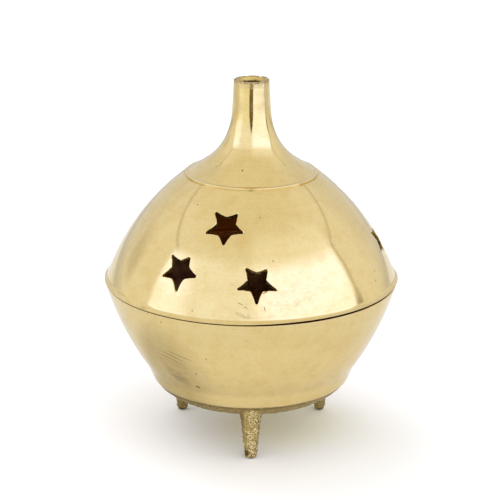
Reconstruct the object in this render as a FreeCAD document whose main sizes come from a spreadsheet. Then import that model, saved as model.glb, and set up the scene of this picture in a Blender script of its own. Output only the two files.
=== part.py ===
"""Small turned brass incense burner: a bowl on three peg feet, and a pierced dome lid with a chimney.

The origin is on the vertical axis, in the plane that the three feet stand on. +Z is up and -Y is the
front, where the first foot is. All lengths are in millimetres.
"""

import FreeCAD, Part
import Sketcher
import math
import os

# Driving dimensions: alias, value and what it measures. A "height" is above the plane the feet stand on.
DIMENSIONS = [
    ("rim_height", 41.7, "face of the bowl's rim that the lid rests on"),
    ("rim_radius", 37.85, "outside of the bowl at its rim"),
    ("rim_round", 0.3, "rounding of the rim's outer edge"),
    ("wall_curve", 77, "radius of the bowl's outer wall, seen in section"),
    ("waist_radius", 27.1, "outside of the bowl where the wall straightens"),
    ("waist_height", 18.8, "height of that place"),
    ("edge_radius", 25.8, "turned edge between the wall and the cast underside"),
    ("edge_height", 15.5, "height of the turned edge"),
    ("edge_round", 0.8, "rounding of the turned edge"),
    ("shoulder_curve", 12, "radius of the underside just inside the turned edge"),
    ("belly_radius", 21, "where the underside starts to flatten"),
    ("belly_height", 11.6, "height of that place"),
    ("belly_curve", 62, "radius of the flat middle of the underside"),
    ("base_height", 7.9, "lowest point of the underside, on the axis"),
    ("lip_height", 43.5, "top of the lip that centres the lid"),
    ("lip_outer", 35.15, "outside of the lip"),
    ("lip_inner", 34.1, "inside of the lip"),
    ("lip_round", 0.4, "rounding of the lip's top edges"),
    ("hollow_top", 40, "height where the hollow's curved wall starts"),
    ("hollow_curve", 75, "radius of the hollow's wall, seen in section"),
    ("hollow_radius", 24.6, "where the hollow's wall turns into its floor"),
    ("hollow_height", 19.3, "height of that place"),
    ("cove_curve", 10, "radius of the cove round the floor"),
    ("floor_radius", 19.8, "where the floor starts"),
    ("floor_height", 13.8, "height of that place"),
    ("floor_curve", 60, "radius of the dished floor"),
    ("floor_low", 10.4, "lowest point of the floor, on the axis"),
    ("foot_circle", 21.46, "radius of the circle that the feet stand on"),
    ("foot_flat", 0.8, "radius of the worn flat under a foot"),
    ("foot_tip", 1.5, "radius of a foot just above its rounded end"),
    ("foot_tip_height", 0.7, "height of the rounded end"),
    ("foot_tip_curve", 0.85, "radius of the rounded end, seen in section"),
    ("foot_root", 2.85, "radius the taper reaches inside the bowl's form"),
    ("foot_root_height", 14.2, "height where the foot's blank ends"),
    ("tenon_radius", 1.5, "tenon of a foot and its socket in the bowl"),
    ("tenon_start", 9, "height where the tenon starts inside the foot"),
    ("tenon_top", 13, "height of the tenon's end"),
    ("lid_radius", 38, "lid at its lower edge"),
    ("lid_round", 0.35, "rounding of the lid's lower edge"),
    ("lid_bore", 35.4, "bore of the lid that fits over the lip"),
    ("bore_height", 43.6, "height where the bore meets the inside of the dome"),
    ("dome_foot", 37.2, "dome just above the flared lower edge"),
    ("dome_foot_height", 42.75, "height of that place"),
    ("dome_curve", 60, "radius of the dome's outside, seen in section"),
    ("inner_curve", 58.6, "radius of the dome's inside, seen in section"),
    ("neck_radius", 17.4, "dome at the seat of the chimney"),
    ("neck_inner", 17.1, "inside of the dome below that seat"),
    ("seat_height", 69.55, "face that the chimney's flange sits on"),
    ("seat_under", 68.15, "underside of the seat"),
    ("hole_radius", 12.4, "hole in the top of the dome"),
    ("flange_radius", 16.9, "flange of the chimney"),
    ("flange_round", 0.25, "rounding of the flange's edge"),
    ("flange_top", 70.1, "top of the flange"),
    ("cone_foot", 16.05, "foot of the chimney's cone"),
    ("cone_top", 12.3, "where the cone turns into the flare"),
    ("cone_top_height", 72.65, "height of that place"),
    ("flare_curve", 16.2, "radius of the flare, seen in section"),
    ("tube_radius", 5.05, "where the flare turns into the tube"),
    ("tube_height", 84.4, "height of that place"),
    ("mouth_radius", 4.5, "outside of the chimney at its mouth"),
    ("mouth_height", 94, "top of the chimney"),
    ("flue_radius", 3.4, "bore of the chimney"),
    ("flue_height", 85.5, "height where the bore starts to widen downwards"),
    ("flue_curve", 17.7, "radius of the inside of the flare, seen in section"),
    ("spigot_inner", 11.2, "inside of the chimney's spigot"),
    ("spigot_inner_top", 71.6, "height where the spigot's inside meets the flare"),
    ("spigot_bottom", 67.8, "lower end of the spigot"),
    ("star_tip", 5.1, "radius of a star's tips"),
    ("star_notch", 2.6, "radius of a star's inner corners"),
    ("star_stand", 1.5, "how far above the dome a star's cut starts"),
    ("star_depth", 5, "length of a star's cut along the dome's normal"),
    ("group_turn", -104.7, "degrees from +X to the first group of stars"),
    ("left_star_spread", 18.2, "degrees from a group's middle to its lower left star"),
    ("left_star_radius", 32.6, "middle of the lower left star, out from the axis"),
    ("left_star_height", 52.4, "height of that place"),
    ("left_star_tilt", 30.5, "degrees that the dome faces up there"),
    ("right_star_spread", 17, "degrees from a group's middle to its lower right star"),
    ("right_star_radius", 33.4, "middle of the lower right star, out from the axis"),
    ("right_star_height", 51, "height of that place"),
    ("right_star_tilt", 29, "degrees that the dome faces up there"),
    ("high_star_radius", 25.1, "middle of an upper star, out from the axis"),
    ("high_star_height", 62.6, "height of that place"),
    ("high_star_tilt", 42.5, "degrees that the dome faces up there"),
    ("ring_inner", 7.9, "inside of the dish's foot ring"),
    ("ring_outer", 9.2, "outside of the foot ring"),
    ("ring_bottom", 11.2, "lower face of the foot ring"),
    ("plate_under", 12.2, "underside of the dish"),
    ("plate_top", 13.2, "upper face of the dish"),
    ("plate_turn", 10.8, "where the dish turns up"),
    ("dish_radius", 13, "outside of the dish's rim"),
    ("dish_wall", 0.9, "width of the dish's rim"),
    ("dish_height", 15.4, "top of the dish's rim"),
    ("dish_curve", 5, "radius of the dish's turned-up wall, seen in section"),
]

UP_AXIS = -2  # a sketch's own vertical axis
ORIGIN_POINT = (-1, 1)  # a sketch's origin
START, END = 1, 2  # the two ends of a line or an arc
LEFT, RIGHT = -1, 1  # side of the way along an edge that its arc swells towards

document = FreeCAD.newDocument("incense_burner")


def make_sheet():
    """Puts the driving dimensions in a spreadsheet called size."""
    sheet = document.addObject("Spreadsheet::Sheet", "size")
    for row, (alias, value, meaning) in enumerate(DIMENSIONS, start=1):
        sheet.set(f"A{row}", meaning)
        sheet.set(f"B{row}", str(value))
        sheet.setAlias(f"B{row}", alias)
    document.recompute()
    return sheet


sheet = make_sheet()


def number(expression):
    """The present value of an expression on the spreadsheet."""
    return float(sheet.evalExpression(expression))


def origin_feature(body, role):
    """A body's own origin plane or axis."""
    return next(feature for feature in body.Origin.OriginFeatures if feature.Role == role)


def new_sketch(body, name, plane):
    """An empty sketch on one of a body's origin planes."""
    sketch = body.newObject("Sketcher::SketchObject", name)
    sketch.AttachmentSupport = [(origin_feature(body, plane), "")]
    sketch.MapMode = "FlatFace"
    return sketch


def bind(sketch, kind, places, expression):
    """Adds a driving constraint whose value follows an expression."""
    index = sketch.addConstraint(Sketcher.Constraint(kind, *places, number(expression)))
    sketch.setExpression(f"Constraints[{index}]", expression)


def arc_between(start, end, radius, side):
    """The short arc from start to end, swelling to the given side of the way along."""
    chord = end - start
    across = FreeCAD.Vector(-chord.y, chord.x, 0).normalize()
    rise = math.sqrt(radius**2 - (chord.Length / 2) ** 2)
    centre = (start + end) / 2 + across * rise * side
    first, last = (start, end) if side == RIGHT else (end, start)
    angles = [math.atan2(point.y - centre.y, point.x - centre.x) for point in (first, last)]
    if angles[1] < angles[0]:
        angles[1] += 2 * math.pi
    circle = Part.Circle(centre, FreeCAD.Vector(0, 0, 1), radius)
    return Part.ArcOfCircle(circle, *angles)


def draw_outline(sketch, corners):
    """Draws a closed outline, bound to the spreadsheet.

    Each corner is (across, up) or (across, up, curve, side), as expressions. The curve is the radius of
    the arc that leads from this corner to the next, and a corner without one is followed by a line.
    """
    points = [FreeCAD.Vector(number(corner[0]), number(corner[1]), 0) for corner in corners]
    ends = []
    for index, corner in enumerate(corners):
        start = points[index]
        end = points[(index + 1) % len(points)]
        if len(corner) == 4:
            curve, side = corner[2:]
            edge = sketch.addGeometry(arc_between(start, end, number(curve), side), False)
            bind(sketch, "Radius", [edge], curve)
            ends.append((edge, START, END) if side == RIGHT else (edge, END, START))
        else:
            edge = sketch.addGeometry(Part.LineSegment(start, end), False)
            ends.append((edge, START, END))
    for index, corner in enumerate(corners):
        edge, first, _ = ends[index]
        before, _, last = ends[index - 1]
        sketch.addConstraint(Sketcher.Constraint("Coincident", before, last, edge, first))
        if abs(points[index].x) < 1e-9:
            sketch.addConstraint(Sketcher.Constraint("PointOnObject", edge, first, UP_AXIS))
        else:
            bind(sketch, "DistanceX", [*ORIGIN_POINT, edge, first], corner[0])
        bind(sketch, "DistanceY", [*ORIGIN_POINT, edge, first], corner[1])


def turned(label, corners):
    """A body turned about the vertical axis from an outline of (radius, height) corners."""
    body = document.addObject("PartDesign::Body", label)
    body.Label = label
    sketch = new_sketch(body, f"{label}_outline", "XZ_Plane")
    draw_outline(sketch, corners)
    revolution = body.newObject("PartDesign::Revolution", f"{label}_turned")
    revolution.Profile = sketch
    revolution.ReferenceAxis = (sketch, ["V_Axis"])
    revolution.Angle = 360
    document.recompute()
    return body


def circle_at(feature, radius, height):
    """The name of a feature's circular edge of this radius at this height."""
    for index, edge in enumerate(feature.Shape.Edges, start=1):
        box = edge.BoundBox
        round_edge = abs(box.XLength / 2 - radius) < 0.01 and box.ZLength < 0.01
        if round_edge and abs(box.ZMin - height) < 0.01:
            return f"Edge{index}"
    raise ValueError(f"no circle of radius {radius} at height {height}")


def round_circles(body, name, radius, circles):
    """Rounds a body's circular edges, each given as (radius, height) expressions."""
    base = body.Tip
    edges = [circle_at(base, number(across), number(up)) for across, up in circles]
    fillet = body.newObject("PartDesign::Fillet", name)
    fillet.Base = (base, edges)
    fillet.setExpression("Radius", radius)
    document.recompute()


# --- bowl: a turned casting with a lip that centres the lid ---------------------------------------

UNDERSIDE = [
    ("0", "size.base_height", "size.belly_curve", RIGHT),
    ("size.belly_radius", "size.belly_height", "size.shoulder_curve", RIGHT),
    ("size.edge_radius", "size.edge_height"),
    ("size.waist_radius", "size.waist_height", "size.wall_curve", RIGHT),
    ("size.rim_radius", "size.rim_height"),
]


def make_bowl():
    """The bowl, with its hollow, its rim and lip, and three blind sockets for the feet."""
    body = turned("bowl", UNDERSIDE + [
        ("size.lip_outer", "size.rim_height"),
        ("size.lip_outer", "size.lip_height"),
        ("size.lip_inner", "size.lip_height"),
        ("size.lip_inner", "size.hollow_top", "size.hollow_curve", LEFT),
        ("size.hollow_radius", "size.hollow_height", "size.cove_curve", LEFT),
        ("size.floor_radius", "size.floor_height", "size.floor_curve", LEFT),
        ("0", "size.floor_low"),
    ])
    round_circles(body, "rim_edge", "size.rim_round", [("size.rim_radius", "size.rim_height")])
    round_circles(body, "lip_edges", "size.lip_round", [
        ("size.lip_outer", "size.lip_height"),
        ("size.lip_inner", "size.lip_height"),
    ])
    round_circles(body, "turned_edge", "size.edge_round", [("size.edge_radius", "size.edge_height")])

    sketch = new_sketch(body, "foot_socket_circle", "XY_Plane")
    circle = Part.Circle(
        FreeCAD.Vector(0, -number("size.foot_circle"), 0),
        FreeCAD.Vector(0, 0, 1),
        number("size.tenon_radius"),
    )
    ring = sketch.addGeometry(circle, False)
    centre = 3
    sketch.addConstraint(Sketcher.Constraint("PointOnObject", ring, centre, UP_AXIS))
    bind(sketch, "DistanceY", [*ORIGIN_POINT, ring, centre], "-size.foot_circle")
    bind(sketch, "Radius", [ring], "size.tenon_radius")
    socket = body.newObject("PartDesign::Pocket", "foot_socket")
    socket.Profile = sketch
    socket.Reversed = True
    socket.setExpression("Length", "size.tenon_top")
    pattern_round(body, "foot_sockets", [socket])
    return body


def pattern_round(body, name, features):
    """Repeats features three times about the vertical axis, and checks that each one cuts."""
    before = features[0].BaseFeature.Shape.Volume
    pattern = body.newObject("PartDesign::PolarPattern", name)
    pattern.Originals = features
    pattern.Axis = (origin_feature(body, "Z_Axis"), [""])
    pattern.Angle = 360
    pattern.Occurrences = 3
    body.Tip = pattern
    document.recompute()
    removed = before - pattern.Shape.Volume
    print(f"{name} remove {removed:.2f} cubic mm")
    if removed < 1:
        raise ValueError(f"{name} cut nothing")


# --- lid: a thin dome with nine stars pierced through it ------------------------------------------

def pierce_star(body, name, turn, radius, height, tilt):
    """Cuts one five-pointed star through the dome, one tip down, along the dome's own normal."""
    sketch = new_sketch(body, f"{name}_outline", "XY_Plane")
    out = f"({radius} + size.star_stand * cos({tilt} * 1 deg))"
    up = f"{height} + size.star_stand * sin({tilt} * 1 deg)"
    place = f"vector({out} * cos(({turn}) * 1 deg); {out} * sin(({turn}) * 1 deg); {up})"
    sketch.setExpression("AttachmentOffset", f"placement({place}; rotation(({turn}) + 90; 0; 90 - {tilt}))")
    corners = []
    for step in range(10):
        reach = "size.star_tip" if step % 2 == 0 else "size.star_notch"
        angle = 36 * step - 90
        across = "0" if angle % 180 == 90 else f"{reach} * cos({angle} deg)"
        corners.append((across, f"{reach} * sin({angle} deg)"))
    draw_outline(sketch, corners)
    pocket = body.newObject("PartDesign::Pocket", name)
    pocket.Profile = sketch
    pocket.setExpression("Length", "size.star_depth")
    document.recompute()
    return pocket


def make_lid():
    """The dome, its bore over the bowl's lip, the chimney's seat, and three groups of three stars."""
    body = turned("lid", [
        ("size.lid_bore", "size.rim_height"),
        ("size.lid_radius - size.lid_round", "size.rim_height", "size.lid_round", RIGHT),
        ("size.lid_radius", "size.rim_height + size.lid_round"),
        ("size.dome_foot", "size.dome_foot_height", "size.dome_curve", RIGHT),
        ("size.neck_radius", "size.seat_height"),
        ("size.hole_radius", "size.seat_height"),
        ("size.hole_radius", "size.seat_under"),
        ("size.neck_inner", "size.seat_under", "size.inner_curve", LEFT),
        ("size.lid_bore", "size.bore_height"),
    ])
    left = ("size.left_star_radius", "size.left_star_height", "size.left_star_tilt")
    right = ("size.right_star_radius", "size.right_star_height", "size.right_star_tilt")
    high = ("size.high_star_radius", "size.high_star_height", "size.high_star_tilt")
    stars = [
        pierce_star(body, "left_star", "size.group_turn - size.left_star_spread", *left),
        pierce_star(body, "right_star", "size.group_turn + size.right_star_spread", *right),
        pierce_star(body, "high_star", "size.group_turn", *high),
    ]
    pattern_round(body, "star_groups", stars)
    return body


# --- chimney: turned from the solid, with a spigot in the lid's top hole --------------------------

def make_chimney():
    """The flared chimney, its flange on the lid, its spigot in the lid's hole and its flue."""
    return turned("chimney", [
        ("size.spigot_inner", "size.spigot_bottom"),
        ("size.hole_radius", "size.spigot_bottom"),
        ("size.hole_radius", "size.seat_height"),
        ("size.flange_radius", "size.seat_height"),
        ("size.flange_radius", "size.flange_top - size.flange_round", "size.flange_round", RIGHT),
        ("size.flange_radius - size.flange_round", "size.flange_top"),
        ("size.cone_foot", "size.flange_top"),
        ("size.cone_top", "size.cone_top_height", "size.flare_curve", LEFT),
        ("size.tube_radius", "size.tube_height"),
        ("size.mouth_radius", "size.mouth_height"),
        ("size.flue_radius", "size.mouth_height"),
        ("size.flue_radius", "size.flue_height", "size.flue_curve", RIGHT),
        ("size.spigot_inner", "size.spigot_inner_top"),
    ])


# --- cone dish: a small loose saucer that keeps the burning cone off the bowl's floor -------------

def make_cone_dish():
    """The loose dish, standing on its foot ring in the middle of the bowl's floor."""
    return turned("cone_dish", [
        ("0", "size.plate_under"),
        ("size.ring_inner", "size.plate_under"),
        ("size.ring_inner", "size.ring_bottom"),
        ("size.ring_outer", "size.ring_bottom"),
        ("size.ring_outer", "size.plate_under"),
        ("size.plate_turn", "size.plate_under", "size.dish_curve", RIGHT),
        ("size.dish_radius", "size.dish_height"),
        ("size.dish_radius - size.dish_wall", "size.dish_height", "size.dish_curve", LEFT),
        ("size.plate_turn - size.dish_wall / 2", "size.plate_top"),
        ("0", "size.plate_top"),
    ])


# --- feet: tapered pegs, each trimmed to the bowl's underside with a tenon in a socket ------------

def place_at_foot(piece, turn):
    """Stands a piece on the foot circle, turned this many degrees from +X."""
    piece.setExpression("Placement.Base.x", f"size.foot_circle * cos({turn} deg)")
    piece.setExpression("Placement.Base.y", f"size.foot_circle * sin({turn} deg)")


def make_foot(label, turn, form):
    """One peg foot: a tapered blank cut back to the bowl's form, fused with its tenon."""
    blank = turned(f"{label}_blank", [
        ("0", "0"),
        ("size.foot_flat", "0", "size.foot_tip_curve", RIGHT),
        ("size.foot_tip", "size.foot_tip_height"),
        ("size.foot_root", "size.foot_root_height"),
        ("0", "size.foot_root_height"),
    ])
    place_at_foot(blank, turn)

    trimmed = document.addObject("Part::Cut", f"{label}_trimmed")
    trimmed.Base = blank
    trimmed.Tool = form

    tenon = document.addObject("Part::Cylinder", f"{label}_tenon")
    tenon.setExpression("Radius", "size.tenon_radius")
    tenon.setExpression("Height", "size.tenon_top - size.tenon_start")
    tenon.setExpression("Placement.Base.z", "size.tenon_start")
    place_at_foot(tenon, turn)

    foot = document.addObject("Part::Fuse", label)
    foot.Label = label
    foot.Base = trimmed
    foot.Tool = tenon
    foot.Refine = True
    return foot


def make_feet():
    """The three feet: one at the front and two at the rear, a third of a turn apart."""
    form = turned("bowl_form", UNDERSIDE + [("0", "size.rim_height")])
    round_circles(form, "form_edge", "size.edge_round", [("size.edge_radius", "size.edge_height")])
    turns = {"foot_front": -90, "foot_rear_right": 30, "foot_rear_left": 150}
    return [make_foot(label, turn, form) for label, turn in turns.items()]


def check_document():
    """Stops at any object that failed to recompute."""
    document.recompute()
    for item in document.Objects:
        if "Invalid" in item.State or "Error" in item.State:
            raise ValueError(f"{item.Name} did not recompute: {item.State}")


def export(pieces):
    """Checks each piece's shape and writes it to parts/ under its own label."""
    os.makedirs("parts", exist_ok=True)
    for piece in pieces:
        shape = piece.Shape
        if shape.isNull() or not shape.isValid() or len(shape.Solids) != 1:
            raise ValueError(f"{piece.Label} is not one valid solid")
        box = shape.optimalBoundingBox()
        reach = f"z {box.ZMin:.2f} to {box.ZMax:.2f}, width {box.XLength:.2f}"
        print(f"{piece.Label}: {shape.Volume / 1000:.3f} cubic cm, {reach}")
        shape.exportStep(f"parts/{piece.Label}.step")


pieces = [make_bowl(), *make_feet(), make_lid(), make_chimney(), make_cone_dish()]
check_document()
export(pieces)
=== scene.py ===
# %% [markdown]
# # A small turned brass incense burner
# The burner is a bowl on three peg feet, a pierced dome lid with a chimney, and a loose dish for the
# cone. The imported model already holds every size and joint, so it is loaded first as a fixed frame.
# Each piece made below takes the place of one of its nodes, in the same coordinates.

# %% Load the frame
import math

import bmesh
import bpy
from mathutils import Matrix, Vector, noise


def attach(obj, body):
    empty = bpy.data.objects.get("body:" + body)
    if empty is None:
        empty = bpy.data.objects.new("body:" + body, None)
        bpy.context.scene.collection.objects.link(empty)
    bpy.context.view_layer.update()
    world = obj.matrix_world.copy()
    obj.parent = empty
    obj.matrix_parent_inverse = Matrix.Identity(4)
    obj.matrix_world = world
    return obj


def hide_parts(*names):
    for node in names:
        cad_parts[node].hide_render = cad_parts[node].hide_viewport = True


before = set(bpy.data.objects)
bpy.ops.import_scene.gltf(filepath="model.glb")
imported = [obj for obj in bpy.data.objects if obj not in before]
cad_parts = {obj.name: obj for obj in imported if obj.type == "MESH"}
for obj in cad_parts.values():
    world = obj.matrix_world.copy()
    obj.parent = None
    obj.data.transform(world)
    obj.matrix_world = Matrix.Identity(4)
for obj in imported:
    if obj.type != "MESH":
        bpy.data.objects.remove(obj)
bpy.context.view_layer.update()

MM = 0.001

# %% [markdown]
# ## The camera
# A long lens from about half a metre keeps the upright lines of a small product nearly parallel. The
# camera looks a little down, so that the seam and the foot circle show as flat ellipses. Its place is
# built from three simple moves: go to the spot, tip up from looking at the floor, and roll by a hair.

# %% Place the camera
EYE = Vector((-0.00032, -0.46895, 0.19969))
LOOK_DOWN = 0.31141
ROLL = 0.0020

lens = bpy.data.cameras.new("camera")
lens.sensor_width = 36
lens.lens = 137.05
lens.clip_start = 0.01
camera = bpy.data.objects.new("camera", lens)
bpy.context.collection.objects.link(camera)
tip_up = Matrix.Rotation(math.pi / 2 - LOOK_DOWN, 4, "X")
camera.matrix_world = Matrix.Translation(EYE) @ tip_up @ Matrix.Rotation(ROLL, 4, "Z")
bpy.context.scene.camera = camera
print("camera distance from the axis in mm:", round(EYE.xy.length / MM))

# %% [markdown]
# ## Shader sums as plain expressions
# A node tree is a sum drawn as boxes. Written as boxes it is hard to read, so one small class wraps a
# socket and lets it stand in ordinary Python sums. `1 - mask * 0.5` then adds the Math nodes by itself.
# Everything that isn't a sum goes through the one method `node`.

# %% A socket that joins in sums
class Wire:
    """An output socket of a node tree, used like a number."""

    def __init__(self, tree, socket=None):
        self.tree = tree
        self.socket = socket

    def node(self, kind, settings=None, inputs=None, output=0):
        """Adds a node: first its settings, then the value or the link of each of its sockets."""
        made = self.tree.nodes.new(kind)
        for name, value in (settings or {}).items():
            setattr(made, name, value)
        for name, value in (inputs or {}).items():
            if isinstance(value, Wire):
                self.tree.links.new(value.socket, made.inputs[name])
            else:
                made.inputs[name].default_value = value
        return Wire(self.tree, made.outputs[output] if made.outputs else None)

    def math(self, operation, *values):
        """A Math node on plain numbers or wires."""
        return self.node("ShaderNodeMath", {"operation": operation}, dict(enumerate(values)))

    def __add__(self, other):
        return self.math("ADD", self, other)

    def __sub__(self, other):
        return self.math("SUBTRACT", self, other)

    def __rsub__(self, other):
        return self.math("SUBTRACT", other, self)

    def __mul__(self, other):
        return self.math("MULTIPLY", self, other)

    def __truediv__(self, other):
        return self.math("DIVIDE", self, other)

    def __pow__(self, other):
        return self.math("POWER", self, other)

    __radd__ = __add__
    __rmul__ = __mul__

    def rise(self, low, high):
        """0 below low and 1 above high, with a smooth step between them."""
        inputs = {"Value": self, "From Min": low, "From Max": high}
        return self.node("ShaderNodeMapRange", {"interpolation_type": "SMOOTHSTEP"}, inputs)

    def near(self, middle, inner, outer):
        """1 within inner of a middle value, fading to 0 at outer."""
        return 1 - self.math("ABSOLUTE", self - middle).rise(inner, outer)

    def mix(self, first, second):
        """The first colour where this is 0 and the second where it is 1."""
        colours = {0: self, 6: first, 7: second}
        return self.node("ShaderNodeMix", {"data_type": "RGBA"}, colours, output=2)

    def parts(self):
        """The three numbers of a vector."""
        split = self.node("ShaderNodeSeparateXYZ", {}, {0: self}).socket.node
        return [Wire(self.tree, socket) for socket in split.outputs]


def rgb(red, green, blue):
    """A colour with full alpha, in linear light."""
    return (red, green, blue, 1.0)


print("operators ready:", [name for name in dir(Wire) if name.startswith("__r")][:4])

# %% [markdown]
# ## The light tent
# Polished brass shows hardly anything of its own. What is seen is the room mirrored in it, so the
# room has to be right. A product like this is lit in a tent: a bright sheet of cloth in front, duller
# cloth at the sides and above, and a slit through which the lens looks in. Area lights could stand
# for the sheets, but each would need its own noise-free sampling. The world shader instead paints the
# whole tent by direction, and Cycles samples it as one light. All its angles are in degrees: azimuth is
# 0 towards the lens and grows to the right, and height is measured up from the horizon.

# %% Paint the tent by direction
SHEET_LOW = rgb(1.38, 1.47, 1.97)
SHEET_HIGH = rgb(1.46, 1.57, 2.36)
SIDE_SHEETS = rgb(0.97, 0.96, 0.99)
BEHIND = rgb(0.80, 0.80, 0.85)
ROOF = rgb(0.90, 0.87, 0.81)
UNDER = rgb(0.92, 0.89, 0.82)
BACKDROP = rgb(1.05, 1.05, 1.05)

world = bpy.data.worlds.new("light_tent")
world.use_nodes = True
world.node_tree.nodes.clear()
bpy.context.scene.world = world
tent = Wire(world.node_tree)

direction = tent.node("ShaderNodeTexCoord", output="Generated")
east, north, up = direction.parts()
azimuth = tent.math("ARCTAN2", east, north * -1.0) * math.degrees(1)
height = tent.math("ARCSINE", up) * math.degrees(1)
away = azimuth * azimuth

sheet_top = 47.5 - away * 0.0016
over_top = height - sheet_top
sheet = azimuth.near(2.0, 88.5, 91.5) * (1 - over_top.rise(-5.0, 3.0)) * height.rise(-14.0, -11.0)
upper_strip = (1 - over_top.rise(-2.0, 24.0)) * azimuth.rise(-6.0, 12.0) * (1 - azimuth.rise(88.0, 99.0))
cloth = tent.math("ABSOLUTE", azimuth).rise(108.0, 150.0).mix(SIDE_SHEETS, BEHIND)
cloth = height.rise(40.0, 70.0).mix(cloth, ROOF)
cloth = upper_strip.mix(cloth, rgb(1.12, 1.14, 1.26))
cloth = sheet.mix(cloth, height.rise(14.0, 27.0).mix(SHEET_LOW, SHEET_HIGH))

# %% [markdown]
# The tent isn't perfect, and its faults are what make the brass look real. The lens looks in through
# a dark slit that narrows upward. The sheet left of it hangs in a duller fold, low cloth is warmer
# than high cloth, and dark lines show where two sheets meet.

# %% Slit, folds and seams
SLIT = rgb(0.15, 0.105, 0.025)
SEAM = rgb(0.42, 0.36, 0.26)

to_side = tent.math("ABSOLUTE", azimuth)
low = 1 - height.rise(-7.0, 3.0)
low_left = (1 - azimuth.rise(-50.0, -32.0)) * azimuth.rise(-92.0, -89.0) * low
fold = (azimuth + height * 0.25).rise(-62.0, -42.0) * (1 - azimuth.rise(-3.0, 13.0))
slit_half = 11.5 - height.rise(-6.0, 4.0) * 4.0 - height.rise(2.0, 30.0) * 9.0
off_slit = tent.math("ABSOLUTE", azimuth + 1.5) - slit_half
slit = (1 - off_slit.rise(-2.0, 1.5)) * height.rise(-16.0, -10.0) * (1 - height.rise(22.0, 30.0))
right_gap = (azimuth - height * 0.35).near(91.5, 1.5, 5.0) * height.rise(-16.0, -10.0)
right_gap = right_gap * (1 - height.rise(5.0, 15.0)) * (0.6 + height.rise(-8.6, -1.0) * 0.35)
right_seam = azimuth.near(96.0, 0.7, 1.8) * height.near(22.0, 10.0, 13.0)
right_curve = (height - (34.0 + (azimuth - 97.0) * 0.23)).near(0.0, 0.6, 1.6) * azimuth.near(114.0, 17.0, 20.0)
left_curve = (height - (36.0 + (-86.0 - azimuth) * 0.2)).near(0.0, 0.6, 1.6) * azimuth.near(-108.0, 21.0, 25.0)
smudge = azimuth.near(-124.0, 3.0, 12.0) * height.near(12.0, 3.0, 10.0)
print("tent nodes with the faults drawn:", len(world.node_tree.nodes))

# %% Lay the faults on the cloth
left_colour = azimuth.rise(-84.0, -72.0).mix(rgb(0.92, 0.85, 0.74), rgb(1.15, 1.16, 1.12))
cloth = low_left.mix(cloth, left_colour)
cloth = (to_side.near(108.0, 12.0, 22.0) * low).mix(cloth, rgb(0.85, 0.79, 0.70))
cloth = (to_side.rise(112.0, 132.0) * low).mix(cloth, rgb(0.58, 0.62, 0.66))
fold_colour = height.rise(-8.0, 12.0).mix(rgb(1.05, 1.05, 0.91), rgb(1.10, 1.15, 1.33))
cloth = (fold * (1 - over_top.rise(-4.0, 6.0))).mix(cloth, fold_colour)
cloth = slit.mix(cloth, SLIT)
cloth = right_gap.mix(cloth, SLIT)
for fault, strength in ((right_seam, 0.6), (right_curve, 0.5), (left_curve, 0.5), (smudge, 0.35)):
    cloth = (fault * strength).mix(cloth, SEAM)
cloth = (1 - height.rise(-15.0, -12.0)).mix(cloth, UNDER)
print("tent nodes with the faults laid on:", len(world.node_tree.nodes))

# %% [markdown]
# A product print burns its white card out to plain paper white, while the brass still mirrors the card
# as a softer grey. So light that falls on the card is a little stronger than the mirrored tent, and
# the card further down is paler to the lens than to the brass. Light that comes in low is warmed by
# the brass on its way, so the deep shadow is warmer than the open card.

# %% Light for the card, and the backdrop behind it
LOW_GAIN = rgb(1.96, 1.85, 1.36)
HIGH_GAIN = rgb(1.26, 1.28, 1.36)

on_card = tent.node("ShaderNodeLightPath", output="Is Diffuse Ray")
seen = tent.node("ShaderNodeLightPath", output="Is Camera Ray")
gain = height.rise(5.0, 35.0).mix(LOW_GAIN, HIGH_GAIN)
inputs = {0: gain, "Scale": cloth.parts()[0]}
cloth = on_card.mix(cloth, tent.node("ShaderNodeVectorMath", {"operation": "SCALE"}, inputs))
light = tent.node("ShaderNodeBackground", {}, {"Color": seen.mix(cloth, BACKDROP), "Strength": 1.0})
tent.node("ShaderNodeOutputWorld", {}, {"Surface": light})
bpy.context.scene.view_settings.view_transform = "Standard"
print("tent nodes in all:", len(world.node_tree.nodes))

# %% [markdown]
# ## Outlines
# Every large piece of this burner comes off a lathe, so its shape is one outline spun about the
# upright axis. An outline is a list of corners as (radius, height) in millimetres. A corner may name
# the radius of the arc that leads on to the next one, and the side that the arc swells to. The
# numbers are the frame's own, so the new pieces lie exactly on it.

# %% From corners to a chain of points
LEFT, RIGHT = -1, 1


def arc_centre(start, end, radius, side):
    """The middle of the circle through two points, on one side of the way from start to end."""
    chord = end - start
    across = Vector((-chord.y, chord.x)).normalized()
    return (start + end) / 2 + across * side * math.sqrt(radius**2 - (chord.length / 2) ** 2)


def arc_points(start, end, radius, side, step):
    """Points along the short arc from start to end, without the start."""
    centre = arc_centre(start, end, radius, side)
    first = math.atan2(*(start - centre).yx)
    turn = math.atan2(*(end - centre).yx) - first
    turn = (turn + math.pi) % (2 * math.pi) - math.pi
    count = max(2, math.ceil(abs(turn) * radius / step))
    angles = [first + turn * (index + 1) / count for index in range(count)]
    return [centre + Vector((math.cos(angle), math.sin(angle))) * radius for angle in angles]


def outline(corners, step=0.5):
    """Points every step or so along an outline's lines and arcs."""
    points = [Vector(corners[0][:2])]
    for corner, following in zip(corners, corners[1:]):
        start, end = Vector(corner[:2]), Vector(following[:2])
        if len(corner) == 4:
            points += arc_points(start, end, corner[2], corner[3], step)
        else:
            count = max(1, math.ceil((end - start).length / step))
            points += [start.lerp(end, (index + 1) / count) for index in range(count)]
    return points


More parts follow.
